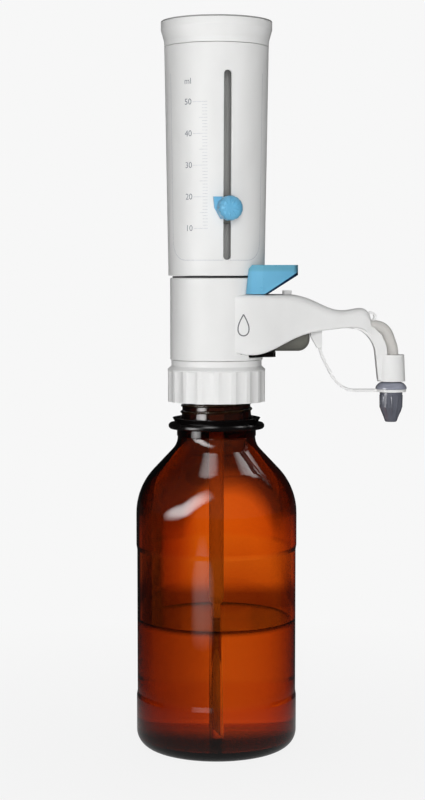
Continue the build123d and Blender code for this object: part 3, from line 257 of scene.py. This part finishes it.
finish = {
    "amber_glass": amber, "reagent": liquid, "white_plastic": white, "grey_plastic": grey,
    "dark_grey_plastic": dark_grey, "black_plastic": black, "blue_plastic": blue,
    "smoky_plastic": smoky, "clear_plastic": clear_plastic, "clear_tube": clear_tube,
    "clear_glass": clear_glass, "ceramic_white": ceramic, "seal_rubber": rubber, "brass": brass,
}
scale_ink = printed("scale_ink", srgb(112, 116, 124))
faint_ink = printed("faint_ink", srgb(196, 198, 202))
mark_ink = printed("mark_ink", srgb(104, 104, 108))


def dress(thing, made):
    """Gives an object one material."""
    thing.data.materials.clear()
    thing.data.materials.append(made.material)


for node, thing in cad.items():
    dress(thing, finish[slot_of[node]])

# the lever: painted shade, darker at its root, along the top and at the end, and very dark along
# its slanted underside, which rises from the foot
lever_blue = moulded("lever_blue", srgb(126, 200, 236), srgb(112, 188, 226), 0.3)
slant = math.radians(33.3)
foot_x, foot_z = 32.3 * MM, 288.4 * MM      # where the underside starts
along_x = lever_blue.axis("X")
along_z = lever_blue.axis("Z")
rise = lever_blue.calc("MULTIPLY", lever_blue.calc("SUBTRACT", along_z, foot_z), math.cos(slant))
run = lever_blue.calc("MULTIPLY", lever_blue.calc("SUBTRACT", along_x, foot_x), math.sin(slant))
lever_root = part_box("valve_lever")[0].x
lever_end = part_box("valve_lever")[1].x
lever_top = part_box("valve_lever")[1].z
# painted shade along the slanted underside
painted_underside_shade = lever_blue.ramp(lever_blue.calc("SUBTRACT", rise, run), (0.0, (0.02, 0.035, 0.07, 1.0)),
                       (1.4 * MM, (0.03, 0.05, 0.09, 1.0)), (1.8 * MM, 1.0), (3.0 * MM, 0.94))
painted_root_and_end_shade = lever_blue.ramp(along_x, (lever_root, 0.72), (lever_root + 4.0 * MM, 1.0),
                             (lever_root + 12.0 * MM, 0.98), (lever_end - 3.0 * MM, 0.92),
                             (lever_end - 1.2 * MM, 0.45))
painted_top_strip_shade = lever_blue.ramp(along_z, (lever_top - 4.5 * MM, 1.0),
                        (lever_top - 2.8 * MM, (0.84, 0.86, 0.80, 1.0)))
lever_blue.feed("Base Color",
                lever_blue.times(lever_blue.fed("Base Color"), painted_underside_shade, painted_root_and_end_shade, painted_top_strip_shade))
dress(cad["valve_lever"], lever_blue)


# ---------------------------------------------------- mesh helpers
def piece(name, made, body, bm):
    """Turns a bmesh into a smooth object that takes a slot's finish and rides on a body."""
    bmesh.ops.recalc_face_normals(bm, faces=bm.faces)
    for face in bm.faces:
        face.smooth = True
    mesh = bpy.data.meshes.new(name)
    bm.to_mesh(mesh)
    bm.free()
    thing = bpy.data.objects.new(name, mesh)
    bpy.context.collection.objects.link(thing)
    dress(thing, made)
    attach(thing, body)
    return thing


def lathe(profile):
    """A closed outline of (radius, height) turned about the Z axis."""
    steps = 128
    bm = bmesh.new()
    loop = [bm.verts.new((radius, 0, height)) for radius, height in profile]
    edges = [bm.edges.new((first, second)) for first, second in zip(loop, loop[1:] + loop[:1])]
    bmesh.ops.spin(bm, geom=loop + edges, axis=(0, 0, 1), cent=(0, 0, 0), angle=2 * math.pi,
                   steps=steps, use_merge=True)
    bmesh.ops.remove_doubles(bm, verts=bm.verts, dist=1e-6)
    return bm


def skin(node):
    """A CAD piece's surface, for laying print and ribs on."""
    mesh = cad[node].data
    return BVHTree.FromPolygons([v.co for v in mesh.vertices], [p.vertices for p in mesh.polygons])


def round_it(surface, centre, angle, height, lift):
    """A surface's point at an angle about an upright axis, seen from outside and raised."""
    outward = Vector((math.cos(angle), math.sin(angle), 0))
    start = Vector((centre, 0, height)) + OUTSIDE * outward
    hit = surface.ray_cast(start, -outward)[0]
    return hit + lift * outward


def from_front(surface, across, height, lift):
    """A surface's point that the front view shows at a place, raised by a lift."""
    hit = surface.ray_cast(Vector((across, -OUTSIDE, height)), Vector((0, 1, 0)))[0]
    return hit - Vector((0, lift, 0))


def strip(bm, rows):
    """Quads between rows of points."""
    made = [[bm.verts.new(point) for point in row] for row in rows]
    for first, second in zip(made, made[1:]):
        for low, high, high_next, low_next in zip(first, first[1:], second[1:], second):
            bm.faces.new((low, high, high_next, low_next))


def neighbours(points):
    """Each point with the one before and the one after it."""
    return zip(points[:1] + points[:-1], points, points[1:] + points[-1:])


def outline(points, width):
    """Pairs of points on either side of a line, a width apart."""
    pairs = []
    for before, here, after in neighbours(points):
        along = (Vector(after) - Vector(before)).normalized()
        side = Vector((-along.y, along.x)) * width / 2
        pairs.append((Vector(here) - side, Vector(here) + side))
    return pairs


def lettering(text, size):
    """The flat faces of a centred text as lists of (across, up) points."""
    curve = bpy.data.curves.new("lettering", "FONT")
    curve.body = text
    curve.size = size
    curve.align_x = "CENTER"
    curve.align_y = "CENTER"
    curve.resolution_u = 3
    holder = bpy.data.objects.new("lettering", curve)
    bpy.context.collection.objects.link(holder)
    shaped = holder.evaluated_get(bpy.context.evaluated_depsgraph_get())
    mesh = bpy.data.meshes.new_from_object(shaped)
    faces = [[mesh.vertices[index].co.xy.copy() for index in face.vertices]
             for face in mesh.polygons]
    bpy.data.objects.remove(holder)
    bpy.data.meshes.remove(mesh)
    return faces


# ---------------------------------------------------- bottle: reagent and neck thread
low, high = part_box("reagent")
into_glass = 0.2 * MM
tube_gap = 0.3 * MM
wall = high.x + into_glass
floor_z = low.z - into_glass
level = high.z
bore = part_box("inner_filling_tube")[1].x + tube_gap
heel_profile = [
    (bore, floor_z), (bore + 0.5 * MM, floor_z), (wall - 1.4 * MM, floor_z),
    (wall - 0.8 * MM, floor_z), (wall - 0.2 * MM, floor_z + 1.8 * MM),
    (wall, floor_z + 3.6 * MM), (wall, floor_z + 4.2 * MM),
]
meniscus_profile = [
    (wall, level - 0.2 * MM), (wall, level + 1.0 * MM), (wall - 0.5 * MM, level + 0.45 * MM),
    (wall - 1.4 * MM, level + 0.1 * MM), (wall - 3.0 * MM, level), (wall - 3.6 * MM, level),
    (bore + 1.8 * MM, level), (bore + 1.2 * MM, level), (bore, level + 0.5 * MM),
]
reagent_fill = piece("reagent_fill", liquid, "bottle",
                     lathe(heel_profile + meniscus_profile))
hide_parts("reagent")

bottle_skin = skin("bottle")
lip_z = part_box("bottle")[1].z
thread_low = lip_z - 19.0 * MM
thread_pitch = 4.0 * MM
thread_crest = 1.1 * MM
thread_root = 0.25 * MM         # how deep the ridge starts inside the glass
thread_turns = 3.6
steps_per_turn = 72
runout_steps = 14
thread_profile = ((-1.1, 0.0), (-0.6, 0.75), (0.0, 1.0), (0.6, 0.75), (1.1, 0.0))
thread = bmesh.new()
steps = int(thread_turns * steps_per_turn)
rows = []
for step in range(steps + 1):
    turns = step / steps_per_turn
    crest = thread_crest * min(1.0, step / runout_steps, (steps - step) / runout_steps)
    rows.append([
        round_it(bottle_skin, 0, 2 * math.pi * turns,
                 thread_low + thread_pitch * turns + offset * MM,
                 -thread_root + (crest + thread_root) * share)
        for offset, share in thread_profile
    ])
strip(thread, rows)
piece("neck_thread", amber, "bottle", thread)

# ---------------------------------------------------- sleeve: volume scale and panel line
sleeve_skin = skin("sleeve")
FRONT = -math.pi / 2
print_lift = 0.05 * MM
sleeve_radius = 31.5 * MM
zero_z = 424.9 * MM
per_ten = 19.2 * MM


def on_sleeve(point):
    """A point of the unrolled front of the sleeve: across from the middle, and up."""
    across, height = point
    return round_it(sleeve_skin, 0, FRONT + across / sleeve_radius, height, print_lift)


numbers_across = -18.2 * MM
number_size = 5.2 * MM
unit_z = zero_z - 0.35 * per_ten
scale = bmesh.new()
for text, height in [("ml", unit_z)] + [
    (str(60 - 10 * step), zero_z - step * per_ten) for step in range(1, 6)
]:
    place = Vector((numbers_across, height))
    for face in lettering(text, number_size):
        scale.faces.new([scale.verts.new(on_sleeve(point + place)) for point in face])
piece("scale_numbers", scale_ink, "plunger", scale)

tick_right = -5.6 * MM
tick_half = 0.14 * MM
ten_tick, five_tick, one_tick = 9.4 * MM, 5.2 * MM, 3.2 * MM
tick_parts = 4
ticks = bmesh.new()
for step in range(41):
    height = zero_z - (1 + step / 10) * per_ten
    length = ten_tick if step % 10 == 0 else five_tick if step % 5 == 0 else one_tick
    tick_left = tick_right - length
    strip(ticks, [
        [on_sleeve((tick_left + length * part / tick_parts, height + side))
         for part in range(tick_parts + 1)]
        for side in (-tick_half, tick_half)
    ])
piece("scale_ticks", faint_ink, "plunger", ticks)

panel_half = 33.5 * MM
panel_low = 309.5 * MM
panel_top = 424.0 * MM
panel_corner = 12.0 * MM
panel_width = 0.35 * MM
side_parts, corner_parts, foot_parts = 12, 10, 10
side_length = panel_top - panel_low - panel_corner
path = [(-panel_half, panel_top - side_length * part / side_parts)
        for part in range(side_parts + 1)]
for part in range(1, corner_parts + 1):
    turn = math.pi / 2 * part / corner_parts
    path.append((-panel_half + panel_corner * (1 - math.cos(turn)),
                 panel_low + panel_corner * (1 - math.sin(turn))))
path += [((panel_half - panel_corner) * (part / foot_parts - 1), panel_low)
         for part in range(1, foot_parts + 1)]
path += [(-across, height) for across, height in reversed(path[:-1])]
panel = bmesh.new()
strip(panel, [[on_sleeve(side) for side in pair] for pair in outline(path, panel_width)])
piece("panel_line", faint_ink, "plunger", panel)

# ---------------------------------------------------- housing: drop mark
housing_skin = skin("housing")
mark_x, mark_z = 16.6 * MM, 269.6 * MM
drop_half_width, drop_half_height = 4.6 * MM, 6.6 * MM
drop_line = 0.75 * MM
drop_steps, drop_taper = 48, 1.2
drop = []
for step in range(drop_steps + 1):
    turn = 2 * math.pi * step / drop_steps
    belly = math.sin(turn) * abs(math.sin(turn / 2)) ** drop_taper
    drop.append((mark_x + drop_half_width * belly, mark_z + drop_half_height * math.cos(turn)))
mark = bmesh.new()
strip(mark, [[from_front(housing_skin, side.x, side.y, print_lift) for side in pair]
             for pair in outline(drop, drop_line)])
piece("drop_mark", mark_ink, "dispenser", mark)

# ---------------------------------------------------- knob flutes and nozzle cap ribs
sunk = 0.05 * MM                # how deep a flute or a rib starts below the skin
knob_skin = skin("volume_knob")
low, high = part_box("volume_knob")
knob = (low + high) / 2
knob_radius = (high.z - low.z) / 2
flute_count, flute_parts, flute_crest = 10, 6, 0.45 * MM
flute_inner, flute_length = 0.3, 0.52      # shares of the knob's radius
flute_profile = ((-0.75, 0.0), (-0.4, 0.8), (0.0, 1.0), (0.4, 0.8), (0.75, 0.0))
flutes = bmesh.new()
for step in range(flute_count):
    turn = 2 * math.pi * (step + 0.5) / flute_count
    out = Vector((math.cos(turn), math.sin(turn)))
    side = Vector((-out.y, out.x))
    rows = []
    for part in range(flute_parts + 1):
        reach = knob_radius * (flute_inner + flute_length * part / flute_parts)
        crest = flute_crest * min(1.0, part / 2, (flute_parts - part) / 2)
        places = [(reach * out + offset * MM * side, share) for offset, share in flute_profile]
        rows.append([
            from_front(knob_skin, knob.x + place.x, knob.z + place.y, crest * share - sunk)
            for place, share in places
        ])
    strip(flutes, rows)
piece("knob_flutes", blue, "volume_knob", flutes)

cap_skin = skin("nozzle_cap")
low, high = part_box("nozzle_cap")
nozzle_x = (low.x + high.x) / 2
rib_low = low.z + 3.0 * MM
rib_high = high.z - 8.5 * MM
rib_count, rib_parts, rib_crest = 14, 8, 0.4 * MM
rib_profile = ((-0.11, 0.0), (-0.05, 0.85), (0.0, 1.0), (0.05, 0.85), (0.11, 0.0))
ribs = bmesh.new()
for step in range(rib_count):
    middle = 2 * math.pi * (step + 0.5) / rib_count
    rows = []
    for part in range(rib_parts + 1):
        height = rib_low + (rib_high - rib_low) * part / rib_parts
        crest = rib_crest * min(1.0, part / 2, (rib_parts - part) / 2)
        rows.append([
            round_it(cap_skin, nozzle_x, middle + offset, height, crest * share - sunk)
            for offset, share in rib_profile
        ])
    strip(ribs, rows)
piece("cap_ribs", smoky, "nozzle_cap", ribs)

# ---------------------------------------------------- camera
# 1.1 m in front of the bottle's axis, a little above the collar, looking 4.25 degrees down
tilt_down = 4.25
camera_data = bpy.data.cameras.new("camera")
camera_data.lens = 78.75
camera_data.sensor_width = 36.0
camera_data.clip_end = 50.0
camera = bpy.data.objects.new("camera", camera_data)
camera.location = (-0.0025, -1.105, 0.3035)
camera.rotation_euler = (math.radians(90 - tilt_down), 0.0, 0.0)
bpy.context.collection.objects.link(camera)
bpy.context.scene.camera = camera

# ---------------------------------------------------- floor, and a sheet of painted light and shade behind the glass
backdrop = srgb(247, 247, 247)


def flat(name, corners, made):
    """A staged sheet that isn't part of the object."""
    mesh = bpy.data.meshes.new(name)
    mesh.from_pydata(corners, [], [(0, 1, 2, 3)])
    thing = bpy.data.objects.new(name, mesh)
    bpy.context.collection.objects.link(thing)
    dress(thing, made)
    return thing


# the floor is plain paper: a little of the bottle's shadow shows near its foot, the rest is an
# even glow, and glossy faces see it dark
paper = Material("floor_paper", Base_Color=backdrop, Roughness=0.9, Specular_IOR_Level=0.1)
away = paper.node("VectorMath", paper.coordinates, operation="LENGTH").outputs["Value"]
near, far, near_glow = 60 * MM, 400 * MM, 0.93
evenness = paper.node("MapRange", away, near, far, near_glow, 1.0).outputs["Result"]
paths = paper.node("LightPath").outputs
looked_at = paper.calc("MAXIMUM", paths["Is Camera Ray"], paths["Is Transmission Ray"])
glow = paper.node("Emission", Color=backdrop)
dusk = paper.node("Emission", paper.ramp(away, (0.08, 0.3), (0.20, 0.05), (0.45, 0.02)))
lit = paper.mix(paths["Is Glossy Ray"], paper.shader.outputs["BSDF"], dusk.outputs["Emission"])
paper.surface(paper.mix(paper.calc("MULTIPLY", looked_at, evenness), lit,
                        glow.outputs["Emission"]))
floor_reach = 30
flat("floor", [(-floor_reach, -floor_reach, 0), (floor_reach, -floor_reach, 0),
               (floor_reach, floor_reach, 0), (-floor_reach, floor_reach, 0)], paper)

# a glowing sheet of painted light and shade shows through the bottle: bright on the right, red and
# then dark on the left, dark above an arch at the shoulder, and dim in a stripe at the reagent's
# level
gradient = Material("painted_light_and_shade_sheet")
across = gradient.axis("X")
sideways = gradient.ramp(across, (-100 * MM, 0.5), (-85 * MM, 0.01), (-43 * MM, 0.02),
                         (-38 * MM, (0.26, 0.10, 0.08, 1.0)), (-28 * MM, (0.46, 0.24, 0.20, 1.0)),
                         (-21 * MM, (0.64, 0.46, 0.42, 1.0)), (-13 * MM, 0.85), (4 * MM, 0.97),
                         (30 * MM, 1.0))
arch_x, arch_bend, arch_drop = 10 * MM, 26.0, 32 * MM
from_arch = gradient.calc("POWER", gradient.calc("SUBTRACT", across, arch_x), 2.0)
sag = gradient.calc("MINIMUM", gradient.calc("MULTIPLY", from_arch, arch_bend), arch_drop)
arch = gradient.calc("ADD", gradient.axis("Z"), sag)
upward = gradient.ramp(arch, (0.0, (0.70, 0.46, 0.32, 1.0)), (92 * MM, (0.64, 0.42, 0.30, 1.0)),
                       (130 * MM, (1.0, 0.96, 0.88, 1.0)), (152 * MM, 1.0), (164 * MM, 0.5),
                       (173 * MM, 0.12), (200 * MM, 0.05))
painted_waterline_shade = gradient.ramp(gradient.axis("Z"), (68 * MM, 1.0), (75 * MM, (0.30, 0.22, 0.20, 1.0)),
                          (84 * MM, (0.34, 0.26, 0.24, 1.0)), (92 * MM, 1.0))
shown = gradient.times(sideways, upward, painted_waterline_shade)
gradient.surface(gradient.node("Emission", shown, Strength=0.93).outputs["Emission"])
sheet_y, sheet_half, sheet_top = 75 * MM, 300 * MM, 222 * MM
sheet = flat("painted_light_and_shade_sheet", [(-sheet_half, sheet_y, 0.0), (sheet_half, sheet_y, 0.0),
                              (sheet_half, sheet_y, sheet_top), (-sheet_half, sheet_y, sheet_top)],
             gradient)
sheet.visible_camera = False
sheet.visible_diffuse = False
sheet.visible_glossy = False
sheet.visible_shadow = False
sheet.visible_volume_scatter = False

# ---------------------------------------------------- world: room, what glossy faces see, backdrop
world = bpy.data.worlds.new("studio")
bpy.context.scene.world = world
world.use_nodes = True
sky = Nodes(world.node_tree, "Generated")
room = sky.node("Background", sky.ramp(sky.axis("X"), (-1.0, 0.24), (0.0, 0.33), (1.0, 0.01)))
mirrored = sky.node("Background", sky.ramp(sky.axis("Y"), (-1.0, 0.10), (0.0, 0.06), (0.5, 0.01)))
backing = sky.node("Background", backdrop)
ray = sky.node("LightPath").outputs
seen = sky.calc("MAXIMUM", ray["Is Camera Ray"], ray["Is Transmission Ray"])
around = sky.mix(ray["Is Glossy Ray"], room.outputs["Background"], mirrored.outputs["Background"])
whole = sky.mix(seen, around, backing.outputs["Background"])
sky.tree.links.new(whole, sky.tree.nodes["World Output"].inputs["Surface"])


# ---------------------------------------------------- lights
def softbox(name, place, target, width, height, power):
    """A rectangular light at a place, turned to a target; glass doesn't mirror it."""
    data = bpy.data.lights.new(name, "AREA")
    data.shape = "RECTANGLE"
    data.size = width
    data.size_y = height
    data.energy = power
    light = bpy.data.objects.new(name, data)
    light.location = place
    light.rotation_mode = "QUATERNION"
    light.rotation_quaternion = (Vector(target) - Vector(place)).to_track_quat("-Z", "Y")
    light.visible_camera = False
    light.visible_transmission = False
    light.visible_glossy = False
    bpy.context.collection.objects.link(light)


def mirrored_card(name, centre, directions, reach, width, strength):
    """A soft-edged glowing card at some reach, bent through directions, for glossy faces only."""
    glow = Material(name)
    place = glow.node("SeparateXYZ", glow.node("TexCoord").outputs["UV"]).outputs
    edge = ((0.0, 0.0), (0.22, 0.75), (0.5, 1.0), (0.78, 0.75), (1.0, 0.0))
    soft = glow.times(glow.ramp(place["X"], *edge), glow.ramp(place["Y"], *edge))
    glow.surface(glow.node("Emission", soft, strength).outputs["Emission"])

    bend_parts = 12
    centre = Vector(centre)
    marks = [Vector(direction).normalized() for direction in directions]
    line = [first.slerp(second, part / bend_parts)
            for first, second in zip(marks, marks[1:]) for part in range(bend_parts)]
    line.append(marks[-1])
    rows = []
    for count, (before, here, after) in enumerate(neighbours(line)):
        narrow = min(1.0, 0.3 + 2.0 * count / len(line))    # it tapers to its first direction
        side = here.cross(after - before).normalized() * narrow * width / 2
        rows.append([centre + reach * here - side, centre + reach * here + side])
    bm = bmesh.new()
    strip(bm, rows)
    layer = bm.loops.layers.uv.new("card")
    for count, face in enumerate(bm.faces):
        for loop, (ahead, beside) in zip(face.loops, ((0, 0), (0, 1), (1, 1), (1, 0))):
            loop[layer].uv = ((count + ahead) / (len(line) - 1), beside)
    mesh = bpy.data.meshes.new(name)
    bm.to_mesh(mesh)
    bm.free()
    thing = bpy.data.objects.new(name, mesh)
    bpy.context.collection.objects.link(thing)
    dress(thing, glow)
    thing.visible_camera = False
    thing.visible_diffuse = False
    thing.visible_transmission = False
    thing.visible_shadow = False
    thing.visible_volume_scatter = False


softbox("key", place=(0.05, -1.6, 0.40), target=(0.0, 0.0, 0.25), width=0.5, height=1.0, power=16.4)
softbox("fill", place=(-1.2, -0.9, 0.7), target=(0.0, 0.0, 0.25), width=0.5, height=1.2, power=0.6)
softbox("back", place=(0.3, 1.2, 0.9), target=(0.0, 0.0, 0.2), width=1.2, height=0.8, power=2.5)
mirrored_card("streak_card", centre=(0.0, -0.03, 0.16), reach=0.6, width=0.25, strength=13.0,
              directions=[(-0.97, -0.14, -0.05), (-0.73, -0.67, 0.18), (-0.08, -0.70, 0.70)])
mirrored_card("window_card", centre=(0.0, -0.03, 0.183), reach=1.0, width=0.42, strength=4.5,
              directions=[(-0.15, -0.30, 0.95), (-0.15, 0.02, 0.97)])
mirrored_card("rear_card", centre=(0.02, -0.02, 0.183), reach=1.0, width=0.28, strength=5.0,
              directions=[(0.39, -0.03, 0.92), (0.56, 0.19, 0.80), (0.61, 0.46, 0.64)])
mirrored_card("low_card", centre=(-0.009, -0.05, 0.11), reach=0.3, width=0.2, strength=1.6,
              directions=[(-0.34, -0.93, -0.04), (-0.34, -0.93, -0.36)])

bpy.context.scene.view_settings.view_transform = "Standard"
